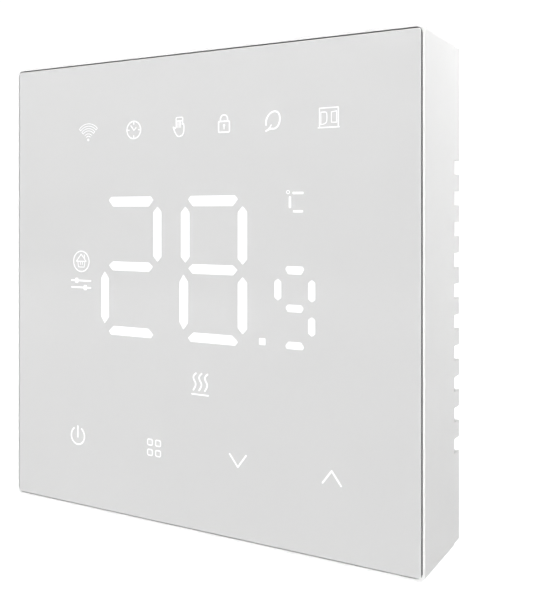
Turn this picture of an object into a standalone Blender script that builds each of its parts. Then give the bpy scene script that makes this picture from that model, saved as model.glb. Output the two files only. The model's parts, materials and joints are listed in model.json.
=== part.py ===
"""Square touch wall thermostat: a glass fronted display unit that slides off a steel
mounting plate, with the mains power base sunk in the wall box behind it.

Axes: X to the right seen from the room, Z up, the face looks toward -Y.
Y = 0 is the wall plane and X = Z = 0 is the middle of the face.
All driving dimensions below are millimetres.
"""

import math

import bmesh
import bpy
from mathutils import Vector
from mathutils.geometry import delaunay_2d_cdt

MM = 0.001

# ---- driving dimensions -------------------------------------------------------------
FRAME_W = 86.0            # outside width and height of the front
FRAME_R = 1.1             # outside corner radius
Y_RIM = -17.5             # front of the frame's rim
GLASS_W = 84.6            # glass width and height
GLASS_R = 0.8
Y_GLASS = -18.0           # glass stands proud of the rim
GLASS_T = 1.8
GLASS_CHAMFER = 0.25
RECESS_W = 85.2           # frame recess round the glass
LEDGE_W = 78.0            # opening inside the ledge that carries the glass
LEDGE_R = 10.0
Y_LEDGE = -15.9
LEDGE_T = 1.2
WALL_IN = 82.4            # inside width of the side walls
Y_WALL_END = -2.7         # top and bottom walls stop here, leaving an air gap
TOOTH_HALF = 42.0         # side walls run to the wall plane over this half height
NOTCHES = 10
NOTCH_PITCH = 5.25
NOTCH_W = 2.45
NOTCH_Z = -2.0            # middle of the row of notches

DIGIT_W = 14.35
DIGIT_TOP = 17.2
DIGIT_BOTTOM = -9.08
SEG_T = 2.0
DIGIT_X = (-21.57, -3.28)
SMALL_X = 16.54
SMALL_W = 7.77
SMALL_TOP = 5.12
SMALL_BOTTOM = -8.99
KEY_X = (-27.4, -9.0, 9.2, 27.3)
KEY_Z = -29.4
ICON_X = (-24.7, -13.65, -3.36, 6.33, 16.23, 26.82)
ICON_Z = 29.7

PLATE_W = 78.0
PLATE_T = 1.0
FIX_SPACING = 60.0
BASE_W = 50.0
BASE_R = 6.0
BASE_WALL = 1.5
BASE_END = 25.5
BOARD_SCREW = 37.5
WAY_PITCH = 7.0
WAYS = 6
THREAD_PITCH = 0.5
CLAMP_TRAVEL = 2.0

# ---- clear the scene ----------------------------------------------------------------
for ob in list(bpy.data.objects):
    bpy.data.objects.remove(ob, do_unlink=True)
for block in list(bpy.data.meshes):
    bpy.data.meshes.remove(block)
for block in list(bpy.data.materials):
    bpy.data.materials.remove(block)


# ---- materials ----------------------------------------------------------------------
def material(name, colour, rough=0.5, metal=0.0):
    mat = bpy.data.materials.get(name)
    if mat is None:
        mat = bpy.data.materials.new(name)
        mat.use_nodes = True
        bsdf = mat.node_tree.nodes["Principled BSDF"]
        bsdf.inputs["Base Color"].default_value = (*colour, 1.0)
        bsdf.inputs["Roughness"].default_value = rough
        bsdf.inputs["Metallic"].default_value = metal
        mat.diffuse_color = (*colour, 1.0)
    return mat


# ---- outlines -----------------------------------------------------------------------
def rect(cx, cy, w, h):
    return [
        (cx - w / 2, cy - h / 2),
        (cx + w / 2, cy - h / 2),
        (cx + w / 2, cy + h / 2),
        (cx - w / 2, cy + h / 2),
    ]


def rrect(cx, cy, w, h, r, n=4):
    out = []
    for k, (sx, sy) in enumerate(((1, -1), (1, 1), (-1, 1), (-1, -1))):
        ox, oy = cx + sx * (w / 2 - r), cy + sy * (h / 2 - r)
        a0 = -math.pi / 2 + k * math.pi / 2
        for i in range(n + 1):
            a = a0 + (math.pi / 2) * i / n
            out.append((ox + r * math.cos(a), oy + r * math.sin(a)))
    return out


def circle(cx, cy, r, n=16):
    return [
        (cx + r * math.cos(2 * math.pi * (i + 0.5) / n), cy + r * math.sin(2 * math.pi * (i + 0.5) / n))
        for i in range(n)
    ]


def bar_h(x0, x1, z, t):
    """A long hexagon lying along X, pointed at both ends."""
    p = t * 0.42
    return [(x0, z), (x0 + p, z - t / 2), (x1 - p, z - t / 2), (x1, z), (x1 - p, z + t / 2), (x0 + p, z + t / 2)]


def bar_v(z0, z1, x, t):
    """A long hexagon standing along Z, pointed at both ends."""
    p = t * 0.45
    return [(x, z0), (x + t / 2, z0 + p), (x + t / 2, z1 - p), (x, z1), (x - t / 2, z1 - p), (x - t / 2, z0 + p)]


def digit_bars(x0, w, top, bottom, t):
    """The seven bars a..g of one digit."""
    half = (top + bottom) / 2
    x1 = x0 + w
    side = t * 0.95
    gap_h = t * 0.8
    gap_v = t * 1.15
    return {
        "a": bar_h(x0 + gap_h, x1 - gap_h, top - t / 2, t),
        "g": bar_h(x0 + gap_h, x1 - gap_h, half, t),
        "d": bar_h(x0 + gap_h, x1 - gap_h, bottom + t / 2, t),
        "f": bar_v(half + t * 0.35, top - gap_v, x0 + side / 2, side),
        "b": bar_v(half + t * 0.35, top - gap_v, x1 - side / 2, side),
        "e": bar_v(bottom + gap_v, half - t * 0.35, x0 + side / 2, side),
        "c": bar_v(bottom + gap_v, half - t * 0.35, x1 - side / 2, side),
    }


# ---- solids -------------------------------------------------------------------------
def inside(point, region):
    """The last loop of the region that holds the point decides: +1 solid, -1 hollow."""
    x, y = point
    state = False
    for sign, loop, box in region:
        if not (box[0] < x < box[2] and box[1] < y < box[3]):
            continue
        hit = False
        j = len(loop) - 1
        for i in range(len(loop)):
            xi, yi = loop[i]
            xj, yj = loop[j]
            if (yi > y) != (yj > y) and x < (xj - xi) * (y - yi) / (yj - yi) + xi:
                hit = not hit
            j = i
        if hit:
            state = sign > 0
    return state


def boxed(region):
    out = []
    for sign, loop in region:
        xs = [p[0] for p in loop]
        ys = [p[1] for p in loop]
        out.append((sign, loop, (min(xs), min(ys), max(xs), max(ys))))
    return out


def layered(name, mat, axis, levels, regions):
    """One closed body built up along an axis from flat layers.

    levels has one more entry than regions; each region is a list of (sign, outline).
    Outlines are (X, Z) for axis Y, (X, Y) for axis Z and (Z, Y) for axis X.
    """
    regions = [boxed(r) for r in regions]
    pts, edges, seen = [], [], {}
    for region in regions:
        for _, loop, _ in region:
            ids = []
            for p in loop:
                key = (round(p[0], 5), round(p[1], 5))
                if key not in seen:
                    seen[key] = len(pts)
                    pts.append(Vector(key))
                ids.append(seen[key])
            for a, b in zip(ids, ids[1:] + ids[:1]):
                edges.append((a, b))
    verts, _, tris, *_ = delaunay_2d_cdt(pts, edges, [], 0, 1e-5)
    verts = [(v[0], v[1]) for v in verts]
    flags = []
    for tri in tris:
        c = (sum(verts[i][0] for i in tri) / 3, sum(verts[i][1] for i in tri) / 3)
        flags.append([inside(c, r) for r in regions])
    owner = {}
    for t, tri in enumerate(tris):
        for i in range(3):
            owner[(tri[i], tri[(i + 1) % 3])] = t
    bm = bmesh.new()
    made = {}

    def vert(i, k):
        if (i, k) not in made:
            u, v = verts[i]
            w = levels[k]
            xyz = {"Y": (u, w, v), "Z": (u, v, w), "X": (w, v, u)}[axis]
            made[(i, k)] = bm.verts.new([c * MM for c in xyz])
        return made[(i, k)]

    n = len(regions)
    for t, tri in enumerate(tris):
        for k in range(n + 1):
            below = k > 0 and flags[t][k - 1]
            above = k < n and flags[t][k]
            if below != above:
                ring = tri if below else tri[::-1]
                bm.faces.new([vert(i, k) for i in ring])
        for i in range(3):
            a, b = tri[i], tri[(i + 1) % 3]
            other = owner.get((b, a))
            for k in range(n):
                if flags[t][k] and not (other is not None and flags[other][k]):
                    bm.faces.new([vert(b, k), vert(a, k), vert(a, k + 1), vert(b, k + 1)])
    return finish(name, bm, mat)


def finish(name, bm, mat, smooth=False):
    bmesh.ops.recalc_face_normals(bm, faces=bm.faces)
    mesh = bpy.data.meshes.new(name)
    bm.to_mesh(mesh)
    bm.free()
    if smooth:
        mesh.shade_smooth()
        mesh.set_sharp_from_angle(angle=math.radians(35))
    mesh.materials.append(mat)
    ob = bpy.data.objects.new(name, mesh)
    bpy.context.scene.collection.objects.link(ob)
    return ob


def rings(name, mat, loops, smooth=True):
    """One closed body skinned through equal loops of 3-D points, flat capped."""
    bm = bmesh.new()
    made = [[bm.verts.new([c * MM for c in p]) for p in loop] for loop in loops]
    n = len(made[0])
    for a, b in zip(made, made[1:]):
        for i in range(n):
            j = (i + 1) % n
            bm.faces.new([a[i], a[j], b[j], b[i]])
    bm.faces.new(made[0][::-1])
    bm.faces.new(made[-1])
    return finish(name, bm, mat, smooth)


def lathe_y(name, mat, cx, cz, profile, n=20):
    """Round body about an axis along Y; profile is (radius, y) and is capped flat."""
    return rings(name, mat, [[(x, y, z) for x, z in circle(cx, cz, r, n)] for r, y in profile])


def shift_origin(ob, point):
    """Puts the object's origin on its joint axis without moving its surface."""
    p = Vector([c * MM for c in point])
    for v in ob.data.vertices:
        v.co -= p
    ob.location = p


def spring(name, mat, cx, cz, y0, y1, r, wire, turns, steps=11, sides=4):
    """Touch spring: two closed end coils and open coils between them."""
    loops = []
    total = int(turns * steps)
    dead = steps
    rise = y1 - y0 - wire
    for s in range(total + 1):
        a = 2 * math.pi * s / steps
        live = min(max((s - dead * 0.75) / (total - 1.5 * dead), 0.0), 1.0)
        ends = 0.13 * wire
        y = y0 + wire / 2 + ends + (rise - 2 * ends) * live
        ring = []
        for k in range(sides):
            b = 2 * math.pi * k / sides
            rr = r + wire / 2 * math.cos(b)
            ring.append((cx + rr * math.cos(a), y + wire / 2 * math.sin(b), cz + rr * math.sin(a)))
        loops.append(ring)
    # each end coil lies apart from the next turn
    for s, ring in enumerate(loops):
        lean = 0.0
        if s < dead * 0.75:
            lean = -0.10 * (1 - s / (dead * 0.75))
        if s > total - dead * 0.75:
            lean = 0.10 * (1 - (total - s) / (dead * 0.75))
        loops[s] = [(x, y + lean, z) for x, y, z in ring]
    return rings(name, mat, loops)


def slotted_screw(name, mat, cx, cz, y_head, y_seat, y_tip, r_head, r_shank, slot=0.8, cross=False, n=16):
    """Screw along Y; the head runs y_head..y_seat and the shank y_seat..y_tip."""
    sign = 1 if y_tip > y_seat else -1
    depth = abs(y_head - y_seat) * 0.55
    y_slot = y_head + sign * depth
    cut = [(-1, rect(cx, cz, slot, 1.5 * r_head))]
    if cross:
        arm = 1.2 * r_head
        cut = [
            (-1, [
                (cx - slot / 2, cz - arm / 2), (cx + slot / 2, cz - arm / 2), (cx + slot / 2, cz - slot / 2),
                (cx + arm / 2, cz - slot / 2), (cx + arm / 2, cz + slot / 2), (cx + slot / 2, cz + slot / 2),
                (cx + slot / 2, cz + arm / 2), (cx - slot / 2, cz + arm / 2), (cx - slot / 2, cz + slot / 2),
                (cx - arm / 2, cz + slot / 2), (cx - arm / 2, cz - slot / 2), (cx - slot / 2, cz - slot / 2),
            ])
        ]
    head = [(1, circle(cx, cz, r_head, n))]
    shank = [(1, circle(cx, cz, r_shank, 8))]
    ys = [y_head, y_slot, y_seat, y_tip]
    regs = [head + cut, head, shank]
    if sign < 0:
        ys, regs = ys[::-1], regs[::-1]
    return layered(name, mat, "Y", ys, regs)


# ---- colours ------------------------------------------------------------------------
WHITE = material("white_plastic", (0.86, 0.86, 0.85), 0.42)
GLASS = material("white_back_printed_glass", (0.72, 0.72, 0.72), 0.08)
TAPE = material("foam_tape", (0.10, 0.10, 0.10), 0.8)
FILM = material("printed_film", (0.80, 0.80, 0.80), 0.5)
BOX_WHITE = material("light_box_plastic", (0.90, 0.90, 0.88), 0.6)
PCB = material("green_board", (0.03, 0.20, 0.08), 0.45)
PCB_DARK = material("white_mask_board", (0.75, 0.76, 0.74), 0.45)
STEEL = material("zinc_steel", (0.62, 0.62, 0.60), 0.35, 1.0)
SPRING = material("spring_steel", (0.60, 0.60, 0.62), 0.25, 1.0)
CAN = material("tin_can", (0.70, 0.70, 0.70), 0.3, 1.0)
BLACK = material("black_plastic", (0.03, 0.03, 0.03), 0.45)
GREY = material("grey_plastic", (0.42, 0.43, 0.44), 0.5)
BRASS = material("brass", (0.72, 0.55, 0.25), 0.3, 1.0)
COPPER = material("copper_winding", (0.70, 0.36, 0.20), 0.4, 1.0)
YELLOW = material("yellow_tape", (0.85, 0.66, 0.10), 0.5)
FERRITE = material("ferrite", (0.06, 0.06, 0.06), 0.7)
BLUE = material("blue_case", (0.05, 0.16, 0.50), 0.4)
GREEN = material("green_housing", (0.05, 0.35, 0.16), 0.45)
SLEEVE = material("capacitor_sleeve", (0.05, 0.06, 0.16), 0.35)
RED = material("film_case", (0.55, 0.10, 0.06), 0.4)
EPOXY = material("blue_epoxy", (0.08, 0.22, 0.48), 0.4)

# ---- front unit ---------------------------------------------------------------------
R = lambda y, w, r: [(x, y, z) for x, z in rrect(0, 0, w, w, r, 5)]  # noqa: E731
c = GLASS_CHAMFER
rings(
    "glass_panel",
    GLASS,
    [
        R(Y_GLASS, GLASS_W - 2 * c, GLASS_R - 0.15),
        R(Y_GLASS + c, GLASS_W, GLASS_R),
        R(Y_GLASS + GLASS_T, GLASS_W, GLASS_R),
    ],
    smooth=False,
)

outer = (1, rrect(0, 0, FRAME_W, FRAME_W, FRAME_R, 4))
ledge_cut = (-1, rrect(0, 0, LEDGE_W, LEDGE_W, LEDGE_R, 5))
wall_cut = (-1, rrect(0, 0, WALL_IN, WALL_IN, 1.0, 2))
corners = [(sx * BOARD_SCREW, sz * BOARD_SCREW) for sx in (-1, 1) for sz in (-1, 1)]
boss = [(1, circle(x, z, 2.3, 12)) for x, z in corners]
pilot = [(-1, circle(x, z, 1.0, 10)) for x, z in corners]
Y_LEDGE_BACK = Y_LEDGE + LEDGE_T
teeth = []
first = NOTCH_Z - (NOTCHES - 1) / 2 * NOTCH_PITCH
edges_z = [-TOOTH_HALF]
for i in range(NOTCHES):
    zc = first + i * NOTCH_PITCH
    edges_z += [zc - NOTCH_W / 2, zc + NOTCH_W / 2]
edges_z.append(TOOTH_HALF)
for side in (-1, 1):
    xc = side * (FRAME_W / 2 + WALL_IN / 2) / 2
    for z0, z1 in zip(edges_z[::2], edges_z[1::2]):
        teeth.append((1, rect(xc, (z0 + z1) / 2, (FRAME_W - WALL_IN) / 2, z1 - z0)))
layered(
    "front_frame",
    WHITE,
    "Y",
    [Y_RIM, Y_LEDGE, Y_LEDGE + 0.5, Y_LEDGE_BACK, -5.0, Y_WALL_END, 0.0],
    [
        [outer, (-1, rrect(0, 0, RECESS_W, RECESS_W, 1.0, 4))],
        [outer, ledge_cut],
        [outer, ledge_cut] + pilot,
        [outer, wall_cut] + boss + pilot,
        [outer, wall_cut],
        teeth,
    ],
)

layered(
    "glass_adhesive",
    TAPE,
    "Y",
    [-16.18, -15.92],
    [[(1, rrect(0, 0, 83.6, 83.6, 0.8, 2)), (-1, rrect(0, 0, 79.0, 79.0, 3.0, 3))]],
)

layered("diffuser_film", FILM, "Y", [-16.12, -15.86], [[(1, rrect(0, 0, 77.2, 77.2, 9.6, 5))]])

bars = {}
for tag, x0, w, top, bottom, t in (
    ("tens", DIGIT_X[0], DIGIT_W, DIGIT_TOP, DIGIT_BOTTOM, SEG_T),
    ("units", DIGIT_X[1], DIGIT_W, DIGIT_TOP, DIGIT_BOTTOM, SEG_T),
    ("tenths", SMALL_X, SMALL_W, SMALL_TOP, SMALL_BOTTOM, 1.6),
):
    for key, loop in digit_bars(x0, w, top, bottom, t).items():
        bars[tag + key] = loop
windows = list(bars.values())
windows.append(rect(14.08, -8.0, 1.9, 1.9))
windows.append(rect(20.4, 15.9, 5.2, 4.6))
windows += [rrect(x, ICON_Z, 5.4, 4.6, 0.8, 1) for x in ICON_X]
windows.append(circle(-26.5, 4.8, 2.6, 10))
windows.append(rect(-26.5, 0.2, 5.8, 3.0))
windows.append(rect(1.35, -16.7, 4.4, 5.2))
spring_holes = [circle(x, KEY_Z, 4.0, 14) for x in KEY_X]
layered(
    "light_box",
    BOX_WHITE,
    "Y",
    [-15.8, -12.2],
    [[(1, rrect(0, 0, 76.4, 76.4, 9.4, 4))] + [(-1, w) for w in windows + spring_holes]],
)

lamps = []
for loop in windows:
    xs = [p[0] for p in loop]
    zs = [p[1] for p in loop]
    lamps.append((1, rect((min(xs) + max(xs)) / 2, (min(zs) + max(zs)) / 2, 1.1, 1.1)))
board = (1, rrect(0, 0, 76.4, 76.4, 9.4, 4))
layered("display_board", PCB_DARK, "Y", [-12.75, -12.1, -10.9], [lamps, [board]])

for label, x in zip(("power", "menu", "down", "up"), KEY_X):
    spring("touch_spring_" + label, SPRING, x, KEY_Z, -15.78, -12.18, 3.0, 0.45, 4.25)

layered(
    "radio_module",
    CAN,
    "Y",
    [-10.85, -10.05, -8.0],
    [[(1, rect(23, 22, 18, 24))], [(1, rrect(23, 20, 15.4, 17.0, 0.8, 2))]],
)

legs = []
for s in (-1, 1):
    for k in range(5):
        o = -3.2 + 1.6 * k
        legs.append((1, rect(s * 5.6, 2 + o, 1.4, 0.4)))
        legs.append((1, rect(o, 2 + s * 5.6, 0.4, 1.4)))
chip = (1, rrect(0, 2, 10, 10, 0.6, 1))
layered("controller_chip", BLACK, "Y", [-10.85, -10.55, -9.4], [[chip] + legs, [chip, ]])

layered(
    "buzzer",
    BLACK,
    "Y",
    [-10.85, -8.2, -7.4],
    [[(1, circle(-26, -18, 4.6, 24))], [(1, circle(-26, -18, 4.6, 24)), (-1, circle(-26, -18, 1.0, 10))]],
)

PIN_Z = 18.0
pins = [(-8.89 + 2.54 * k, PIN_Z) for k in range(8)]
layered(
    "header_pins",
    BLACK,
    "Y",
    [-10.85, -8.4, 0.9],
    [[(1, rect(0, PIN_Z, 20.6, 2.6))], [(1, rect(x, z, 0.64, 0.64)) for x, z in pins]],
)

layered(
    "room_sensor",
    BLACK,
    "Y",
    [-10.85, -7.9, -7.5, -6.9, -6.5],
    [
        [(1, rect(35.6, -18, 0.45, 0.45)), (1, rect(36.9, -18, 0.45, 0.45))],
        [(1, circle(36.25, -18, 1.05, 10))],
        [(1, circle(36.25, -18, 1.25, 10))],
        [(1, circle(36.25, -18, 0.75, 10))],
    ],
)

cover_vents = [(-1, rect(x, 27.5, 2.0, 7.0)) for x in (-30, -26, -22, 22, 26, 30)]
cover_vents += [(-1, rect(x, -29.5, 2.0, 7.0)) for x in (-30, -26, -22, 22, 26, 30)]
hook_x = (-20.0, 20.0)
hook_slots = [(-1, rect(x, s * 36.4, 9.2, 2.0)) for x in hook_x for s in (-1, 1)]
posts = [(1, circle(x, z, 1.8, 10)) for x, z in ((-33, 12), (33, 4), (-33, -12), (10, -34), (-10, 34))]
cover = (1, rrect(0, 0, 81.8, 81.8, 1.0, 2))
cover_holes = [(-1, circle(x, z, 1.25, 12)) for x, z in corners]
pin_window = [(-1, rect(0, PIN_Z, 22.6, 6.4))]
layered(
    "rear_cover",
    GREY,
    "Y",
    [-10.8, -4.9, -3.4],
    [posts, [cover] + cover_vents + hook_slots + cover_holes + pin_window],
)
for k, (x, z) in enumerate(corners, 1):
    slotted_screw(f"cover_screw_{k}", STEEL, x, z, -2.15, -3.35, -13.6, 1.95, 0.9, 0.6, cross=True, n=12)

# ---- mounting plate and wall screws -------------------------------------------------
slots = [(-1, rrect(s * FIX_SPACING / 2, 0, 6.6, 4.2, 2.05, 3)) for s in (-1, 1)]
plate_open = (-1, rrect(0, 0, 46.0, 46.0, 5.0, 4))
plate = (1, rrect(0, 0, PLATE_W, PLATE_W, 4.0, 3))
housing_fix = [(sx * 18.0, sz * 27.4) for sx in (-1, 1) for sz in (-1, 1)]
relief = [(-1, rrect(x, s * 34.2, 12.0, 2.2, 1.0, 2)) for x in (0,) for s in (-1, 1)]
hooks = [(1, rect(x, s * 36.4, 8.0, 1.0)) for x in hook_x for s in (-1, 1)]
layered(
    "mounting_plate",
    STEEL,
    "Y",
    [-6.7, -PLATE_T, 0.0],
    [
        hooks,
        [plate, plate_open] + slots + relief + [(-1, circle(x, z, 1.15, 12)) for x, z in housing_fix],
    ],
)
for label, s in (("left", -1), ("right", 1)):
    slotted_screw(f"wall_screw_{label}", STEEL, s * FIX_SPACING / 2, 0, -2.85, -1.03, 22.0, 3.3, 1.7, 0.9, cross=True, n=20)

# ---- power base ---------------------------------------------------------------------
body = (1, rrect(0, 0, BASE_W, BASE_W, BASE_R, 5))
hollow = (-1, rrect(0, 0, BASE_W - 2 * BASE_WALL, BASE_W - 2 * BASE_WALL, BASE_R - BASE_WALL, 4))
ears = [(1, rrect(0, 0, 46.0, 60.0, 3.0, 3))]
ear_holes = [(-1, circle(x, z, 0.95, 10)) for x, z in housing_fix]
BLOCK_TOP = -12.5
divider = [(1, rect(0, BLOCK_TOP + 0.9, BASE_W - 2 * BASE_WALL + 0.4, 1.0))]
wire_side = [(-1, rect(0, -24.3, 43.4, 2.6))]
rear_vents = [(-1, rrect(x, 14.0, 1.8, 9.0, 0.9, 2)) for x in (-14, -7, 0, 7, 14)]
rear_open = [(-1, rect(0, -18.7, 43.4, 14.0))]
layered(
    "power_housing",
    BLACK,
    "Y",
    [0.05, 1.65, 6.4, 24.0, BASE_END],
    [
        ears + [body, hollow] + ear_holes,
        [body, hollow],
        [body, hollow] + divider + wire_side,
        [body] + rear_vents + rear_open,
    ],
)
for k, (x, z) in enumerate(housing_fix, 1):
    slotted_screw(f"housing_screw_{k}", STEEL, x, z, -2.1, -1.03, 1.55, 1.9, 0.85, 0.6, cross=True, n=12)

layered(
    "base_cover",
    GREY,
    "Y",
    [0.2, 1.4],
    [
        [(1, rrect(0, 0, 46.4, 46.4, 4.2, 4)), (-1, rect(0, PIN_Z, 22.8, 6.4))]
        + [(-1, rect(x, -10.0, 1.8, 12.0)) for x in (-15, -9, -3, 3, 9, 15)]
    ],
)
layered("power_board", PCB, "Y", [2.0, 3.6], [[(1, rrect(0, 0, 46.2, 46.2, 4.0, 4))]])

layered(
    "header_socket",
    BLACK,
    "Y",
    [-3.0, 1.2, 1.95],
    [
        [(1, rect(0, PIN_Z, 21.8, 5.4))] + [(-1, rect(x, z, 1.1, 1.1)) for x, z in pins],
        [(1, rect(0, PIN_Z, 21.8, 5.4))],
    ],
)

# relay: open bottomed case over coil, core, armature and contact
RX0, RX1, RZ0, RZ1 = 3.0, 22.0, -10.2, 4.8
rcx, rcz = (RX0 + RX1) / 2, (RZ0 + RZ1) / 2
case = (1, rrect(rcx, rcz, RX1 - RX0, RZ1 - RZ0, 0.8, 2))
layered(
    "relay_case",
    BLUE,
    "Y",
    [3.7, 18.6, 19.6],
    [[case, (-1, rect(rcx, rcz, RX1 - RX0 - 1.8, RZ1 - RZ0 - 1.8))], [case]],
)
# coil on its iron core with the L shaped yoke beside it
CX, CZ = 9.4, -2.7
layered(
    "relay_coil",
    COPPER,
    "Y",
    [3.75, 4.55, 5.4, 13.4, 14.2, 14.7, 15.2],
    [
        [(1, rect(CX + 0.6, CZ, 11.6, 10.8))],
        [(1, circle(CX, CZ, 4.9, 16)), (1, rect(CX + 5.75, CZ, 1.3, 8.0))],
        [(1, circle(CX, CZ, 4.2, 16)), (1, rect(CX + 5.75, CZ, 1.3, 8.0))],
        [(1, circle(CX, CZ, 4.9, 16)), (1, rect(CX + 5.75, CZ, 1.3, 8.0))],
        [(1, circle(CX, CZ, 2.2, 16)), (1, rect(CX + 5.75, CZ, 1.3, 8.0))],
        [(1, rect(CX + 5.75, CZ, 1.3, 8.0))],
    ],
)
# armature plate hinged on the yoke's end, with a tail spring arm down to the contacts
ARM_Y = 15.35
arm = layered(
    "relay_armature",
    STEEL,
    "Z",
    [CZ - 3.6, CZ - 1.0, CZ + 1.0, CZ + 3.6],
    [
        [(1, [(4.6, ARM_Y), (15.6, ARM_Y), (15.6, ARM_Y + 0.8), (4.6, ARM_Y + 0.8)])],
        [(1, [(4.6, ARM_Y), (15.6, ARM_Y), (17.1, ARM_Y), (17.1, 6.6), (17.7, 6.6), (17.7, ARM_Y + 0.8), (4.6, ARM_Y + 0.8)])],
        [(1, [(4.6, ARM_Y), (15.6, ARM_Y), (15.6, ARM_Y + 0.8), (4.6, ARM_Y + 0.8)])],
    ],
)
shift_origin(arm, (CX + 6.4, ARM_Y, CZ))
layered(
    "relay_contact",
    BRASS,
    "Z",
    [CZ - 1.3, CZ + 1.3],
    [[(1, [(19.4, 3.75), (20.6, 3.75), (20.6, 9.8), (19.4, 9.8), (19.4, 8.6), (18.55, 8.6), (18.55, 6.9), (19.4, 6.9)])]],
)

# transformer: ferrite core with two windows and a wound bobbin on the middle leg
layered(
    "transformer_core",
    FERRITE,
    "Z",
    [-4.5, 0.5],
    [[
        (1, rect(-13.0, 12.0, 16.0, 13.0)),
        (-1, rect(-17.0, 12.0, 4.0, 9.0)),
        (-1, rect(-9.0, 12.0, 4.0, 9.0)),
    ]],
)
tx, tz = -13.0, -2.0
leg_hole = (-1, rect(tx, tz, 4.4, 5.4))
layered(
    "transformer_winding",
    YELLOW,
    "Y",
    [3.7, 7.7, 8.5, 15.5, 16.3],
    [
        [(1, rect(tx, tz - 4.6, 11.6, 3.6)), (1, rect(tx, tz + 4.6, 11.6, 3.6))],
        [(1, rect(tx, tz, 11.6, 12.8)), leg_hole],
        [(1, rrect(tx, tz, 10.9, 11.6, 1.4, 3)), leg_hole],
        [(1, rect(tx, tz, 11.6, 12.8)), leg_hole],
    ],
)

def can_capacitor(name, x, z, r, y1):
    lathe_y(
        name,
        SLEEVE,
        x,
        z,
        [(r - 0.4, 3.75), (r, 4.05), (r, 5.0), (r - 0.35, 5.4), (r, 5.8), (r, y1 - 0.4), (r - 0.4, y1)],
        22,
    )


can_capacitor("smoothing_capacitor_large", -15.2, 14.6, 5.0, 20.0)
can_capacitor("smoothing_capacitor_small", -5.6, 18.6, 3.15, 15.0)
layered("film_capacitor", RED, "Y", [3.75, 15.5], [[(1, rrect(8.4, 19.4, 13.0, 5.4, 0.8, 2))]])
layered(
    "varistor",
    EPOXY,
    "Z",
    [8.0, 9.4, 10.2, 11.6],
    [
        [(1, circle(6.0, 10.0, 4.2, 18))],
        [(1, circle(6.0, 10.0, 4.6, 18)), (1, rect(3.7, 5.2, 0.8, 2.9)), (1, rect(8.3, 5.2, 0.8, 2.9))],
        [(1, circle(6.0, 10.0, 4.2, 18))],
    ],
)
lathe_y("fuse", BLACK, 17.4, 11.6, [(4.0, 3.75), (4.2, 3.95), (4.2, 10.9), (3.9, 11.2)], 20)
layered("bridge_rectifier", BLACK, "Y", [3.75, 4.6, 6.4],
        [[(1, rect(-5.2, 10.2, 5.2, 4.4))] + [(1, rect(-5.2 + dx, 10.2 + s * 3.0, 1.0, 1.8)) for dx in (-1.6, 1.6) for s in (-1, 1)],
         [(1, rect(-5.2, 10.2, 5.2, 4.4)), ]])

# ---- terminal block, screws and lift clamps -----------------------------------------
way_x = [(k - (WAYS - 1) / 2) * WAY_PITCH for k in range(WAYS)]
TB_Z0, TB_Z1 = -22.9, -12.8
SCREW_Z = -18.0
tb = (1, rect(0, (TB_Z0 + TB_Z1) / 2, 41.8, TB_Z1 - TB_Z0))


def cavity(x):
    return (-1, [
        (x - 1.8, TB_Z0 - 1), (x + 1.8, TB_Z0 - 1), (x + 1.8, -21.9), (x + 2.5, -21.9),
        (x + 2.5, -14.3), (x - 2.5, -14.3), (x - 2.5, -21.9), (x - 1.8, -21.9),
    ])


layered(
    "terminal_block",
    GREEN,
    "Y",
    [3.75, 8.0, 17.6, 19.4, 24.8],
    [
        [tb],
        [tb] + [cavity(x) for x in way_x],
        [tb] + [(-1, circle(x, SCREW_Z, 1.6, 12)) for x in way_x],
        [tb] + [(-1, circle(x, SCREW_Z, 2.4, 16)) for x in way_x],
    ],
)
for k, x in enumerate(way_x, 1):
    s = slotted_screw(f"terminal_screw_{k}", STEEL, x, SCREW_Z, 22.0, 19.5, 11.4, 2.15, 1.25, 0.7, n=14)
    shift_origin(s, (x, 19.5, SCREW_Z))
    ring_out = (1, rect(x, SCREW_Z, 4.4, 5.6))
    cl = layered(
        f"terminal_clamp_{k}",
        BRASS,
        "Y",
        [8.3, 9.1, 13.7, 14.7],
        [
            [ring_out],
            [(1, rect(x - 1.8, SCREW_Z, 0.8, 5.6)), (1, rect(x + 1.8, SCREW_Z, 0.8, 5.6))],
            [ring_out, (-1, circle(x, SCREW_Z, 1.4, 12))],
        ],
    )
    shift_origin(cl, (x, 11.5, SCREW_Z))
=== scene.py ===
"""Looks of the square touch wall thermostat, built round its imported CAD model."""

import json
import math

import bmesh
import bpy
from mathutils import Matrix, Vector
from mathutils.geometry import delaunay_2d_cdt


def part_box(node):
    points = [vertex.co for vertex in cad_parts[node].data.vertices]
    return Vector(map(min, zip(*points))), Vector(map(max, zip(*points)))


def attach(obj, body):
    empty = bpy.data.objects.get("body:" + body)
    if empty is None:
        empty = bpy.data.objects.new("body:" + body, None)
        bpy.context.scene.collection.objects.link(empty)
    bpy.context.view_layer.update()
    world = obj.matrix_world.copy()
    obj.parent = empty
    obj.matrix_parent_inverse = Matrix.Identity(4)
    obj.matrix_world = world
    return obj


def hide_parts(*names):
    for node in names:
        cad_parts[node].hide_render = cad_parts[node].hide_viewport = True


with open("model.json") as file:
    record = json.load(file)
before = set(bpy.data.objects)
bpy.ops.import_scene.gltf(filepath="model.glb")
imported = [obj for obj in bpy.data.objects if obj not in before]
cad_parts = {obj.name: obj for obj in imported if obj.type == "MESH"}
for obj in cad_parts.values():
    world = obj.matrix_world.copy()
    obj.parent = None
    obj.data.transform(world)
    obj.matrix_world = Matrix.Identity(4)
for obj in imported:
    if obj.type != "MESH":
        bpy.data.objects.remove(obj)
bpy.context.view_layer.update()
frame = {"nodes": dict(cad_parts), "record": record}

NODES = frame["nodes"]
BODY_OF = {}
for body, members in frame["record"]["behaviour"]["bodies"].items():
    for member in members:
        BODY_OF[member] = body
MM = 0.001
scene = bpy.context.scene

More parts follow.
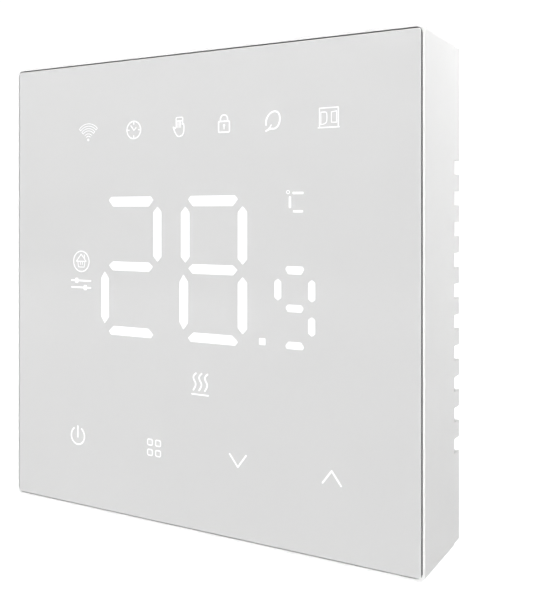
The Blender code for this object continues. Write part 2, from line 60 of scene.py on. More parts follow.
# ------------------------------------------------------------------ camera
f_px, theta = 840.66, math.radians(29.3857)
cam_data = bpy.data.cameras.new("camera")
cam_data.sensor_width = 36.0
cam_data.lens = 36.0 * f_px / 600.0
cam_data.shift_x = 0.0
cam_data.shift_y = -0.142255
cam_data.dof.use_dof = False
cam_data.clip_start, cam_data.clip_end = 0.005, 20.0
camera = bpy.data.objects.new("camera", cam_data)
camera.rotation_euler = (math.radians(90), 0, theta)
camera.location = (0.085026, -0.142064, 0.013589)
scene.collection.objects.link(camera)
scene.camera = camera


# ------------------------------------------------------------------ materials
def link(tree, a, b):
    tree.links.new(a, b)


def base_material(name):
    mat = bpy.data.materials.new(name)
    mat.use_nodes = True
    tree = mat.node_tree
    bsdf = tree.nodes["Principled BSDF"]
    return mat, tree, bsdf


def noise(tree, coords, scale, detail=3.0, rough=0.55, stretch=None):
    node = tree.nodes.new("ShaderNodeTexNoise")
    node.inputs["Scale"].default_value = scale
    node.inputs["Detail"].default_value = detail
    node.inputs["Roughness"].default_value = rough
    if stretch is not None:
        mapping = tree.nodes.new("ShaderNodeMapping")
        mapping.inputs["Scale"].default_value = stretch
        link(tree, coords, mapping.inputs["Vector"])
        link(tree, mapping.outputs["Vector"], node.inputs["Vector"])
    else:
        link(tree, coords, node.inputs["Vector"])
    return node.outputs["Fac"]


def spread(tree, value, lo, hi):
    node = tree.nodes.new("ShaderNodeMapRange")
    node.inputs["From Min"].default_value = 0.3
    node.inputs["From Max"].default_value = 0.7
    node.inputs["To Min"].default_value = lo
    node.inputs["To Max"].default_value = hi
    link(tree, value, node.inputs["Value"])
    return node.outputs["Result"]


def ramp(tree, value, c0, c1):
    node = tree.nodes.new("ShaderNodeValToRGB")
    node.color_ramp.elements[0].position = 0.3
    node.color_ramp.elements[1].position = 0.7
    node.color_ramp.elements[0].color = (*c0, 1.0)
    node.color_ramp.elements[1].color = (*c1, 1.0)
    link(tree, value, node.inputs["Fac"])
    return node.outputs["Color"]


def bump(tree, bsdf, height, distance, strength=1.0):
    node = tree.nodes.new("ShaderNodeBump")
    node.inputs["Distance"].default_value = distance
    node.inputs["Strength"].default_value = strength
    link(tree, height, node.inputs["Height"])
    link(tree, node.outputs["Normal"], bsdf.inputs["Normal"])


def tint(c, k):
    return tuple(max(0.0, min(1.0, v * k)) for v in c)


def plastic(name, colour, rough=0.45, grain=2600.0, depth=0.000012, vary=0.03, coat=0.0, coat_rough=0.06, patch=60.0, spec=0.5):
    """Moulded plastic: spark grain in the bump, cloudy colour and uneven gloss."""
    mat, tree, bsdf = base_material(name)
    coords = tree.nodes.new("ShaderNodeTexCoord").outputs["Object"]
    cloud = noise(tree, coords, patch, 4.0, 0.6)
    fine = noise(tree, coords, grain, 2.0, 0.5)
    link(tree, ramp(tree, cloud, tint(colour, 1 - vary), tint(colour, 1 + vary)), bsdf.inputs["Base Color"])
    link(tree, spread(tree, noise(tree, coords, patch * 3.1, 3.0), rough * 0.88, rough * 1.12), bsdf.inputs["Roughness"])
    bump(tree, bsdf, fine, depth)
    bsdf.inputs["Coat Weight"].default_value = coat
    bsdf.inputs["Coat Roughness"].default_value = coat_rough
    bsdf.inputs["Specular IOR Level"].default_value = spec
    return mat


def metal(name, colour, rough=0.32, stretch=(1.0, 1.0, 40.0), scale=900.0, depth=0.000006, vary=0.08, patch=90.0):
    """Plated metal: drawn lines, cloudy plating."""
    mat, tree, bsdf = base_material(name)
    coords = tree.nodes.new("ShaderNodeTexCoord").outputs["Object"]
    lines = noise(tree, coords, scale, 3.0, 0.6, stretch)
    cloud = noise(tree, coords, patch, 4.0, 0.65)
    link(tree, ramp(tree, cloud, tint(colour, 1 - vary), tint(colour, 1 + vary)), bsdf.inputs["Base Color"])
    link(tree, spread(tree, lines, rough * 0.75, rough * 1.3), bsdf.inputs["Roughness"])
    bump(tree, bsdf, lines, depth)
    bsdf.inputs["Metallic"].default_value = 1.0
    return mat


def board(name, colour, copper):
    """Solder mask over tracks: a faint raised pattern and a glossy coat."""
    mat, tree, bsdf = base_material(name)
    coords = tree.nodes.new("ShaderNodeTexCoord").outputs["Object"]
    cells = tree.nodes.new("ShaderNodeTexBrick")
    cells.inputs["Scale"].default_value = 420.0
    cells.inputs["Mortar Size"].default_value = 0.03
    cells.inputs["Color1"].default_value = (1, 1, 1, 1)
    cells.inputs["Color2"].default_value = (0.85, 0.85, 0.85, 1)
    cells.inputs["Mortar"].default_value = (0, 0, 0, 1)
    mapping = tree.nodes.new("ShaderNodeMapping")
    mapping.inputs["Rotation"].default_value = (math.radians(90), 0, 0)
    link(tree, coords, mapping.inputs["Vector"])
    link(tree, mapping.outputs["Vector"], cells.inputs["Vector"])
    mix = tree.nodes.new("ShaderNodeMix")
    mix.data_type = "RGBA"
    link(tree, cells.outputs["Fac"], mix.inputs["Factor"])
    link(tree, ramp(tree, noise(tree, coords, 160.0), tint(colour, 0.92), tint(colour, 1.08)), mix.inputs["A"])
    mix.inputs["B"].default_value = (*copper, 1.0)
    link(tree, mix.outputs["Result"], bsdf.inputs["Base Color"])
    link(tree, spread(tree, noise(tree, coords, 500.0), 0.28, 0.42), bsdf.inputs["Roughness"])
    bump(tree, bsdf, cells.outputs["Fac"], 0.00002)
    return mat


def printed_glass(name, colour):
    """Polished glass over an even white print: clear gloss, the faintest float ripple."""
    mat, tree, bsdf = base_material(name)
    coords = tree.nodes.new("ShaderNodeTexCoord").outputs["Object"]
    cloud = noise(tree, coords, 14.0, 2.0, 0.5)
    link(tree, ramp(tree, cloud, tint(colour, 0.996), tint(colour, 1.004)), bsdf.inputs["Base Color"])
    link(tree, spread(tree, noise(tree, coords, 380.0, 3.0), 0.42, 0.50), bsdf.inputs["Roughness"])
    ripple = noise(tree, coords, 45.0, 1.0, 0.4)
    bump(tree, bsdf, ripple, 0.0000012)
    bsdf.inputs["Coat Weight"].default_value = 0.85
    bsdf.inputs["Coat Roughness"].default_value = 0.03
    bsdf.inputs["Coat IOR"].default_value = 1.5
    bsdf.inputs["Specular IOR Level"].default_value = 0.15
    return mat


# Near-black glass edge: the dark of clear glass seen edge-on, deepened with painted shade of the gap between glass
# and frame behind it.
def glass_edge(name, colour):
    mat, tree, bsdf = base_material(name)
    coords = tree.nodes.new("ShaderNodeTexCoord").outputs["Object"]
    streaks = noise(tree, coords, 700.0, 2.0, 0.5, (1.0, 0.2, 1.0))
    link(tree, ramp(tree, streaks, tint(colour, 0.85), tint(colour, 1.15)), bsdf.inputs["Base Color"])
    link(tree, spread(tree, streaks, 0.10, 0.22), bsdf.inputs["Roughness"])
    bump(tree, bsdf, streaks, 0.000004)
    return mat


def lit(name, strength):
    """Lamp light coming through a clear window in the white print."""
    mat, tree, bsdf = base_material(name)
    coords = tree.nodes.new("ShaderNodeTexCoord").outputs["Object"]
    cloud = noise(tree, coords, 220.0, 2.0)
    link(tree, ramp(tree, cloud, (0.34, 0.34, 0.35), (0.37, 0.37, 0.38)), bsdf.inputs["Base Color"])
    link(tree, spread(tree, noise(tree, coords, 900.0), 0.30, 0.45), bsdf.inputs["Roughness"])
    bsdf.inputs["Emission Color"].default_value = (1.0, 1.0, 1.0, 1.0)
    bsdf.inputs["Emission Strength"].default_value = strength
    bsdf.inputs["Coat Weight"].default_value = 1.0
    bsdf.inputs["Coat Roughness"].default_value = 0.03
    return mat


M = {
    "white_printed_glass": printed_glass("white_printed_glass", (0.718, 0.718, 0.718)),
    # near-black edge colour: glass seen edge-on plus painted shade of the gap behind it
    "glass_edge": glass_edge("polished_glass_edge_painted_shade", (0.050, 0.058, 0.060)),
    # the polished glass chamfer gets a near-white colour, far lighter than the print it shows: a painted highlight
    # along the glass edge
    "glass_bevel_painted_highlight": plastic("glass_bevel_painted_highlight", (0.94, 0.94, 0.94), 0.12, 900.0, 0.000002, 0.01, 1.0, 0.03),
    "white_plastic": plastic("white_plastic", (0.720, 0.720, 0.718), 0.48, 2400.0, 0.000010, 0.006, spec=0.22),
    # the rim is the same white plastic in a much lighter copy: a painted highlight along the frame's front edge
    "white_rim_painted_highlight": plastic("white_rim_painted_highlight", (0.97, 0.97, 0.968), 0.20, 1800.0, 0.000003, 0.004, 0.6, 0.05),
    "foam_tape": plastic("foam_tape", (0.06, 0.06, 0.06), 0.85, 1500.0, 0.00004, 0.15),
    "printed_film": plastic("printed_film", (0.78, 0.78, 0.78), 0.5, 900.0, 0.00001, 0.02),
    "light_box_plastic": plastic("light_box_plastic", (0.86, 0.86, 0.84), 0.6, 2000.0, 0.00002, 0.02),
    "white_mask_board": board("white_mask_board", (0.72, 0.73, 0.71), (0.80, 0.79, 0.74)),
    "green_board": board("green_board", (0.02, 0.16, 0.06), (0.05, 0.26, 0.11)),
    "zinc_steel": metal("zinc_steel", (0.60, 0.61, 0.62), 0.34),
    "screw_steel": metal("screw_steel", (0.62, 0.62, 0.61), 0.26, (30.0, 1.0, 30.0), 260.0),
    "spring_steel": metal("spring_steel", (0.62, 0.62, 0.64), 0.22, (1.0, 30.0, 1.0), 500.0),
    "tin_can": metal("tin_can", (0.70, 0.70, 0.69), 0.30, (40.0, 1.0, 1.0), 500.0),
    "black_plastic": plastic("black_plastic", (0.028, 0.028, 0.030), 0.46, 2100.0, 0.00003, 0.12),
    "sensor_epoxy": plastic("sensor_epoxy", (0.03, 0.03, 0.03), 0.22, 700.0, 0.00002, 0.12, 0.6),
    "grey_plastic": plastic("grey_plastic", (0.36, 0.37, 0.38), 0.48, 2100.0, 0.00002, 0.03),
    "brass": metal("brass", (0.74, 0.56, 0.27), 0.28, (20.0, 1.0, 1.0), 400.0),
    "copper_winding": metal("copper_winding", (0.70, 0.34, 0.17), 0.34, (1.0, 60.0, 1.0), 180.0, 0.00003),
    "yellow_tape": plastic("yellow_tape", (0.80, 0.58, 0.05), 0.32, 600.0, 0.00002, 0.06, 0.3),
    "ferrite": plastic("ferrite", (0.035, 0.035, 0.037), 0.7, 1500.0, 0.00004, 0.2),
    "blue_case": plastic("blue_case", (0.02, 0.10, 0.42), 0.25, 1200.0, 0.000006, 0.04, 0.5),
    "green_housing": plastic("green_housing", (0.02, 0.27, 0.10), 0.42, 1900.0, 0.000015, 0.04),
    "capacitor_sleeve": plastic("capacitor_sleeve", (0.03, 0.035, 0.12), 0.25, 800.0, 0.00001, 0.06, 0.6),
    "film_case": plastic("film_case", (0.48, 0.07, 0.04), 0.28, 700.0, 0.00001, 0.06, 0.5),
    "blue_epoxy": plastic("blue_epoxy", (0.04, 0.16, 0.42), 0.25, 500.0, 0.00003, 0.08, 0.6),
    "lit_white": lit("lit_white", 0.74),
}

# ------------------------------------------------------------------ outlines
def rect(cx, cy, w, h):
    return [
        (cx - w / 2, cy - h / 2),
        (cx + w / 2, cy - h / 2),
        (cx + w / 2, cy + h / 2),
        (cx - w / 2, cy + h / 2),
    ]


def rrect(cx, cy, w, h, r, n=8):
    out = []
    for k, (sx, sy) in enumerate(((1, -1), (1, 1), (-1, 1), (-1, -1))):
        ox, oy = cx + sx * (w / 2 - r), cy + sy * (h / 2 - r)
        a0 = -math.pi / 2 + k * math.pi / 2
        for i in range(n + 1):
            a = a0 + (math.pi / 2) * i / n
            out.append((ox + r * math.cos(a), oy + r * math.sin(a)))
    return out


def circle(cx, cy, r, n=24):
    return [
        (cx + r * math.cos(2 * math.pi * (i + 0.5) / n), cy + r * math.sin(2 * math.pi * (i + 0.5) / n))
        for i in range(n)
    ]


def arc(cx, cy, r, a0, a1, n=16):
    out = []
    for i in range(n + 1):
        a = math.radians(a0 + (a1 - a0) * i / n)
        out.append((cx + r * math.cos(a), cy + r * math.sin(a)))
    return out


def stroke(points, w, closed=False):
    """Loops that together cover a line of width w with round ends and corners."""
    pts = list(points)
    if closed:
        pts.append(pts[0])
    loops = []
    for (x0, y0), (x1, y1) in zip(pts, pts[1:]):
        d = math.hypot(x1 - x0, y1 - y0)
        if d < 1e-6:
            continue
        nx, ny = -(y1 - y0) / d * w / 2, (x1 - x0) / d * w / 2
        loops.append([(x0 - nx, y0 - ny), (x1 - nx, y1 - ny), (x1 + nx, y1 + ny), (x0 + nx, y0 + ny)])
    for x, y in pts:
        loops.append(circle(x, y, w / 2 * 0.999, 12))
    return loops


def curve(points, steps=6, closed=False):
    """Catmull-Rom line through the points."""
    n = len(points)
    out = []
    spans = n if closed else n - 1
    for i in range(spans):
        p = []
        for k in (-1, 0, 1, 2):
            j = i + k
            p.append(points[j % n] if closed else points[max(0, min(n - 1, j))])
        for s in range(steps):
            t = s / steps
            out.append(tuple(
                0.5 * (2 * p[1][c] + (p[2][c] - p[0][c]) * t
                       + (2 * p[0][c] - 5 * p[1][c] + 4 * p[2][c] - p[3][c]) * t * t
                       + (3 * p[1][c] - p[0][c] - 3 * p[2][c] + p[3][c]) * t * t * t)
                for c in (0, 1)
            ))
    if not closed:
        out.append(points[-1])
    return out


def move(loops, dx, dy, k=1.0):
    return [[(x * k + dx, y * k + dy) for x, y in loop] for loop in loops]


# ------------------------------------------------------------------ mesh tools
def inside(point, region):
    x, y = point
    state = False
    for sign, loop, box in region:
        if not (box[0] < x < box[2] and box[1] < y < box[3]):
            continue
        hit = False
        j = len(loop) - 1
        for i in range(len(loop)):
            xi, yi = loop[i]
            xj, yj = loop[j]
            if (yi > y) != (yj > y) and x < (xj - xi) * (y - yi) / (yj - yi) + xi:
                hit = not hit
            j = i
        if hit:
            state = sign > 0
    return state


def boxed(region):
    out = []
    for sign, loop in region:
        xs = [p[0] for p in loop]
        ys = [p[1] for p in loop]
        out.append((sign, loop, (min(xs), min(ys), max(xs), max(ys))))
    return out


def layered_into(bm, axis, levels, regions, index=0):
    """Adds one closed body, made of flat layers along an axis, to a bmesh."""
    regions = [boxed(r) for r in regions]
    pts, edges, seen = [], [], {}
    for region in regions:
        for _, loop, _ in region:
            ids = []
            for p in loop:
                key = (round(p[0], 5), round(p[1], 5))
                if key not in seen:
                    seen[key] = len(pts)
                    pts.append(Vector(key))
                ids.append(seen[key])
            for a, b in zip(ids, ids[1:] + ids[:1]):
                if a != b:
                    edges.append((a, b))
    verts, _, tris, *_ = delaunay_2d_cdt(pts, edges, [], 0, 1e-5)
    verts = [(v[0], v[1]) for v in verts]
    flags, owner, made = [], {}, {}
    for t, tri in enumerate(tris):
        c = (sum(verts[i][0] for i in tri) / 3, sum(verts[i][1] for i in tri) / 3)
        flags.append([inside(c, r) for r in regions])
        for i in range(3):
            owner[(tri[i], tri[(i + 1) % 3])] = t

    def vert(i, k):
        if (i, k) not in made:
            u, v = verts[i]
            w = levels[k]
            xyz = {"Y": (u, w, v), "Z": (u, v, w), "X": (w, v, u)}[axis]
            made[(i, k)] = bm.verts.new([c * MM for c in xyz])
        return made[(i, k)]

    n = len(regions)
    flip = axis != "Z"
    for t, tri in enumerate(tris):
        for k in range(n + 1):
            below = k > 0 and flags[t][k - 1]
            above = k < n and flags[t][k]
            if below != above:
                ring = tri if below else tri[::-1]
                ring = ring[::-1] if flip else ring
                f = bm.faces.new([vert(i, k) for i in ring])
                f.material_index = index
        for i in range(3):
            a, b = tri[i], tri[(i + 1) % 3]
            other = owner.get((b, a))
            for k in range(n):
                if flags[t][k] and not (other is not None and flags[other][k]):
                    ring = [vert(a, k), vert(b, k), vert(b, k + 1), vert(a, k + 1)]
                    f = bm.faces.new(ring[::-1] if flip else ring)
                    f.material_index = index


def make(name, bm, mats, body, replaces=(), angle=35.0, smooth=True):
    mesh = bpy.data.meshes.new(name)
    bm.to_mesh(mesh)
    bm.free()
    if smooth:
        mesh.shade_smooth()
        mesh.set_sharp_from_angle(angle=math.radians(angle))
    for m in mats:
        mesh.materials.append(m)
    ob = bpy.data.objects.new(name, mesh)
    scene.collection.objects.link(ob)
    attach(ob, body)
    if replaces:
        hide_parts(*replaces)
    return ob


def skin(bm, loops, index=0, cap=True):
    made = [[bm.verts.new([c * MM for c in p]) for p in loop] for loop in loops]
    n = len(made[0])
    faces = []
    for a, b in zip(made, made[1:]):
        row = []
        for i in range(n):
            j = (i + 1) % n
            f = bm.faces.new([a[i], a[j], b[j], b[i]])
            f.material_index = index
            row.append(f)
        faces.append(row)
    caps = []
    if cap:
        caps = [bm.faces.new(made[0][::-1]), bm.faces.new(made[-1])]
        for f in caps:
            f.material_index = index
    return faces, caps


def polish(node, name, mat, width, segments=2, angle=30.0, offset_limit=True):
    """A softened copy of a CAD solid: flat faces merged, every hard edge rounded."""
    src = NODES[node]
    bm = bmesh.new()
    bm.from_mesh(src.data)
    bmesh.ops.remove_doubles(bm, verts=bm.verts, dist=2e-7)
    bmesh.ops.dissolve_limit(
        bm, angle_limit=math.radians(1.0), use_dissolve_boundaries=False, verts=bm.verts, edges=bm.edges
    )
    hard = []
    for e in bm.edges:
        if len(e.link_faces) == 2 and e.calc_face_angle(0.0) > math.radians(angle):
            hard.append(e)
    bmesh.ops.bevel(
        bm,
        geom=hard,
        offset=width * MM,
        offset_type="OFFSET",
        segments=segments,
        profile=0.5,
        affect="EDGES",
        clamp_overlap=offset_limit,
        harden_normals=False,
    )
    bmesh.ops.recalc_face_normals(bm, faces=bm.faces)
    ob = make(name, bm, [mat], BODY_OF[node], (node,), 40.0)
    even = ob.modifiers.new("even_normals", "WEIGHTED_NORMAL")
    even.mode = "FACE_AREA"
    even.weight = 80
    even.keep_sharp = True
    return ob


# ------------------------------------------------------------------ glass panel
g_lo, g_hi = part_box("glass_panel")
Y_FACE = g_lo[1] / MM
GLASS_W = (g_hi[0] - g_lo[0]) / MM + 0.16
Y_BACK = g_hi[1] / MM
GAP_LEFT, GAP_LOW = 0.10, 0.12  # the glass sits a little closer to the rim at the left and below
CUT_IN, CUT_DEEP = 0.13, 0.20  # the polished edge: how far it cuts into the face, and down the side


def ring_at(y, inset, r):
    w, h = GLASS_W + GAP_LEFT - 2 * inset, GLASS_W + GAP_LOW - 2 * inset
    return [(x, y, z) for x, z in rrect(-GAP_LEFT / 2, -GAP_LOW / 2, w, h, max(r, 0.05), 10)]


bm = bmesh.new()
profile = [
    (Y_BACK, 0.10, 0.70),
    (Y_BACK - 0.10, 0.0, 0.80),
    (Y_FACE + CUT_DEEP + 0.35, 0.0, 0.80),
    (Y_FACE + CUT_DEEP + 0.10, 0.0, 0.52),
    (Y_FACE + CUT_DEEP - 0.05, 0.008, 0.50),
    (Y_FACE + 0.07, CUT_IN - 0.03, 0.42),
    (Y_FACE + 0.012, CUT_IN + 0.01, 0.38),
    (Y_FACE, CUT_IN + 0.06, 0.35),
]
rows, caps = skin(bm, [ring_at(*p) for p in profile])
# rows of the glass edge: the side below the chamfer takes the near-black edge colour (partly painted shade), the
# chamfer the near-white painted highlight, the rest the print
for k, row in enumerate(rows):
    for f in row:
        f.material_index = 1 if k < 4 else 2 if k < 6 else 0
bmesh.ops.recalc_face_normals(bm, faces=bm.faces)
make(
    "glass_front",
    bm,
    [M["white_printed_glass"], M["glass_edge"], M["glass_bevel_painted_highlight"]],
    "front_unit",
    ("glass_panel",),
    25.0,
)

# ------------------------------------------------------------------ frame shell
RIM_UP = 0.38  # the rim stands almost level with the polished edge of the glass
shell = polish("front_frame", "frame_shell", M["white_plastic"], 0.06, 2, 30.0)
shell.data.materials.append(M["white_rim_painted_highlight"])
rim_y = (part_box("front_frame")[0][1]) + 0.14 * MM
for vert in shell.data.vertices:
    if vert.co.y < rim_y:
        vert.co.y -= RIM_UP * MM
# the rim's front faces take the lighter copy of the plastic: a painted highlight
for face in shell.data.polygons:
    if face.center.y < rim_y:
        face.material_index = 1

# ------------------------------------------------------------------ lit digits
LIT0, LIT1 = Y_FACE - 0.012, Y_FACE + 0.05


def on_glass(loop):
    """Sets an outline of the print in its place on the glass."""
    return [(1.0042 * x - 0.229, 1.0062 * z + 0.030) for x, z in loop]


def bar_h(x0, x1, top, low, tip, cut_top, cut_low):
    """A level bar whose two ends come to a point at height tip."""
    return [(x0, tip), (x0 + cut_low, low), (x1 - cut_low, low), (x1, tip), (x1 - cut_top, top), (x0 + cut_top, top)]


def bar_v(x0, x1, top, low, tip, cut_in, cut_out, inner_right):
    """An upright bar whose two ends come to a point at x = tip."""
    left, right = (cut_out, cut_in) if inner_right else (cut_in, cut_out)
    return [(tip, low), (x1, low + right), (x1, top - right), (tip, top), (x0, top - left), (x0, low + left)]


def digit(segments, x0, w, top, mid, low, t, tv, gap, cut, lean=0.0):
    """Seven bars round a w wide digit: t thick level bars, tv thick upright bars."""
    x1 = x0 + w
    hx0, hx1 = x0 + tv - 0.02, x1 - tv + 0.06
    vt, vm1, vm0, vb = top - gap, mid + gap * 0.54, mid - gap * 0.57, low + gap * 1.08
    bars = {
        "a": bar_h(hx0, hx1, top, top - t, top - 0.35 * t, 0.32 * t, 0.56 * t),
        "g": bar_h(hx0 + 0.05, hx1 - 0.1, mid + t * 0.46, mid - t * 0.46, mid + 0.05 * t, 0.5 * t, 0.48 * t),
        "d": bar_h(hx0, hx1, low + 0.92 * t, low, low + 0.36 * t, 0.62 * t, 0.3 * t),
        "f": bar_v(x0 + lean, x0 + lean + tv, vt, vm1, x0 + lean + tv * 0.52, cut, cut, True),
        "b": bar_v(x1 - tv, x1, vt, vm1, x1 - tv * 0.48, cut, cut * 0.9, False),
        "e": bar_v(x0, x0 + tv, vm0, vb, x0 + tv * 0.46, cut * 1.2, cut * 1.25, True),
        "c": bar_v(x1 - tv, x1, vm0, vb, x1 - tv * 0.48, cut, cut * 0.9, False),
    }
    return [bars[k] for k in segments]


def soften(loop, r=0.16, n=3):
    """Rounds each corner of an outline a little, as a printed window is."""
    out = []
    m = len(loop)
    for i in range(m):
        p0, p, p1 = loop[i - 1], loop[i], loop[(i + 1) % m]
        d0 = math.hypot(p0[0] - p[0], p0[1] - p[1])
        d1 = math.hypot(p1[0] - p[0], p1[1] - p[1])
        k = min(r, d0 * 0.4, d1 * 0.4)
        a = (p[0] + (p0[0] - p[0]) / d0 * k, p[1] + (p0[1] - p[1]) / d0 * k)
        b = (p[0] + (p1[0] - p[0]) / d1 * k, p[1] + (p1[1] - p[1]) / d1 * k)
        for s in range(n + 1):
            t = s / n
            out.append((
                (1 - t) ** 2 * a[0] + 2 * t * (1 - t) * p[0] + t * t * b[0],
                (1 - t) ** 2 * a[1] + 2 * t * (1 - t) * p[1] + t * t * b[1],
            ))
    return out


DIGIT = (16.82, 3.87, -9.07, 1.87, 1.88, 1.88, 1.05, 0.32)
bars = digit("abged", -20.66, 14.12, *DIGIT)
bars += digit("abcdefg", -2.58, 14.10, *DIGIT)
bars += digit("abcdfg", 16.86, 7.60, 4.94, -2.05, -8.82, 1.36, 1.29, 2.15, 0.50)
for bar in bars[-6:]:
    if bar[0][1] == bar[3][1]:
        mid_x = (bar[0][0] + bar[3][0]) / 2
        bar[:] = [(mid_x + (x - mid_x) * 0.69, z) for x, z in bar]
bars.append(rect(14.50, -7.95, 1.28, 1.18))
bars.append(rect(21.30, 17.05, 2.08, 0.42))
bars.append(rect(21.30, 14.03, 1.92, 0.42))
bars.append(rect(19.79, 15.53, 0.46, 1.98))
bm = bmesh.new()
for loop in bars:
    layered_into(bm, "Y", [LIT0, LIT1], [[(1, on_glass(soften(loop)))]])
layered_into(bm, "Y", [LIT0, LIT1], [[(1, on_glass(circle(19.43, 17.22, 0.36, 16))), (-1, on_glass(circle(19.43, 17.22, 0.20, 12)))]])
make("lit_digits", bm, [M["lit_white"]], "front_unit", (), 30.0, False)

# ------------------------------------------------------------------ lit icons and keys
icons = []


def icon(x, z, loops, k=1.0):
    icons.append(move(loops, x, z, k))


# wireless: outlined bands over a dot
loops = []
for r_out, r_in, w in ((3.14, 2.68, 0.13), (2.22, 1.78, 0.13)):
    band = arc(0, -1.50, r_out, 44, 136, 14) + arc(0, -1.50, r_in, 136, 44, 14)
    loops += stroke(band, w, True)
loops += stroke(arc(0, -1.50, 1.22, 46, 134, 8), 0.13)
loops += stroke(arc(0, -1.50, 0.76, 50, 130, 8), 0.14)
loops.append(circle(0, -1.44, 0.27, 12))
icon(-23.84, 29.20, loops)

# clock
loops = stroke(circle(0, 0, 1.60, 36), 0.25, True)
for a in (0, 90, 180, 270):
    c, s = math.cos(math.radians(a)), math.sin(math.radians(a))
    loops += stroke([(1.55 * c, 1.55 * s), (1.06 * c, 1.06 * s)], 0.22)
loops += stroke([(-0.66, 0.78), (0.02, -0.06), (0.52, 0.38)], 0.23)
icon(-12.87, 29.12, loops)

# hand: cuff line, fingers, thumb at the left, rounded palm
palm = curve([
    (-0.50, 0.10), (-0.78, -0.20), (-1.16, 0.02), (-1.02, -0.42), (-0.62, -1.16), (-0.20, -1.62), (0.34, -1.66),
    (0.86, -1.40), (1.12, -0.80), (1.16, 0.10), (1.02, 0.58), (0.82, 0.50),
], 5)
loops = stroke(palm, 0.25)
loops += stroke([(-0.52, 0.10), (-0.56, 1.55), (-0.40, 1.72), (0.78, 1.72), (0.92, 1.50), (0.84, 0.50)], 0.21)
loops += stroke([(-0.50, 1.10), (0.80, 1.10)], 0.20)
for x in (-0.16, 0.14, 0.44):
    loops += stroke([(x, -0.10), (x, 0.98)], 0.14)
icon(-2.75, 29.14, loops)

# padlock
loops = stroke(soften(rect(0, -0.55, 2.22, 1.88), 0.2), 0.27, True)
loops += stroke([(-0.72, 0.42)] + arc(0, 0.80, 0.72, 180, 0, 12) + [(0.72, 0.42)], 0.27)
loops.append(circle(0.02, -0.30, 0.24, 12))
loops.append([(-0.07, -1.02), (0.11, -1.02), (0.16, -0.30), (-0.12, -0.30)])
icon(6.86, 29.26, loops)

# leaf
leaf = curve([
    (-1.33, -0.62), (-1.32, 0.10), (-0.98, 0.86), (-0.36, 1.42), (0.38, 1.60), (1.00, 1.34), (1.30, 0.62),
    (1.24, -0.20), (0.90, -0.90), (0.30, -1.28), (-0.45, -1.28), (-1.35, -1.62),
], 5)
loops = stroke(leaf, 0.31)
loops += stroke(curve([(-1.32, -1.60), (-0.86, -1.28), (-0.55, -0.98), (-0.34, -0.66)], 4), 0.22)
icon(16.58, 29.18, loops)

# open window
loops = stroke(rect(0, 0, 3.36, 3.16), 0.21, True)
loops += stroke([(-1.92, -1.60), (1.84, -1.60)], 0.20)
loops += stroke(curve([(-1.42, 0.92), (-0.80, 0.92), (-0.42, 0.80), (-0.34, 0.0), (-0.42, -0.70), (-0.80, -0.98), (-1.42, -1.10)], 4), 0.16)
loops += stroke([(0.46, 0.86), (1.38, 0.98), (1.38, -0.84), (0.46, -0.80)], 0.16, True)
loops += stroke([(-1.42, 0.92), (-1.42, -1.10)], 0.12)
icon(26.91, 29.19, loops)

# house in a ring
loops = stroke(circle(0, 0, 1.95, 40), 0.24, True)
loops += stroke([(-1.22, 0.02), (-0.05, 1.38), (1.22, 0.02)], 0.19)
loops += stroke([(0.78, 1.22), (0.78, 0.62)], 0.24)
loops += stroke([(-1.05, 0.0), (1.12, 0.02)], 0.22)
loops += stroke([(-0.86, -0.10), (-0.72, -1.08), (0.72, -1.08), (0.90, -0.10)], 0.16)
loops += stroke([(-0.22, -0.08), (-0.22, -0.62)], 0.14)
loops += stroke([(0.26, -0.08), (0.26, -0.62)], 0.14)
icon(-25.59, 4.50, loops)

# set point: two sliders
loops = []
for z, knob in ((0.66, -1.10), (-0.66, 1.05)):
    loops += stroke([(-2.38, z), (2.38, z)], 0.34)
    loops.append(rrect(knob, z, 0.82, 1.02, 0.22, 4))
icon(-25.64, 0.16, loops)

# heating: three rising waves over a line
loops = []
for x in (-1.22, 0.0, 1.22):
    wave = curve([
        (x + 0.36, 1.74), (x + 0.02, 1.44), (x - 0.20, 1.02), (x - 0.04, 0.52), (x + 0.26, 0.04), (x + 0.24, -0.52), (x - 0.20, -1.24),
    ], 5)
    loops += stroke(wave, 0.32)
loops += stroke([(-1.72, -1.98), (1.72, -1.98)], 0.29)
icon(1.86, -16.28, loops)

# touch keys
loops = stroke(arc(0, -0.12, 1.66, 125, 415, 30), 0.34)
loops += stroke([(0, 1.72), (0, -0.36)], 0.34)
icon(-26.46, -28.96, loops)
loops = []
for dx in (-0.91, 0.91):
    for dz in (-0.93, 0.93):
        loops += stroke(rrect(dx, dz, 1.10, 1.06, 0.26, 4), 0.25, True)
icon(-8.22, -28.98, loops)
icon(9.66, -28.72, stroke([(-1.64, 0.90), (0, -1.14), (1.64, 1.02)], 0.33))
icon(27.42, -29.09, stroke([(-1.64, -0.92), (0, 1.20), (1.66, -0.98)], 0.33))

bm = bmesh.new()
for loops in icons:
    layered_into(bm, "Y", [LIT0, LIT1], [[(1, on_glass(loop)) for loop in loops]])
make("lit_icons", bm, [M["lit_white"]], "front_unit", (), 30.0, False)

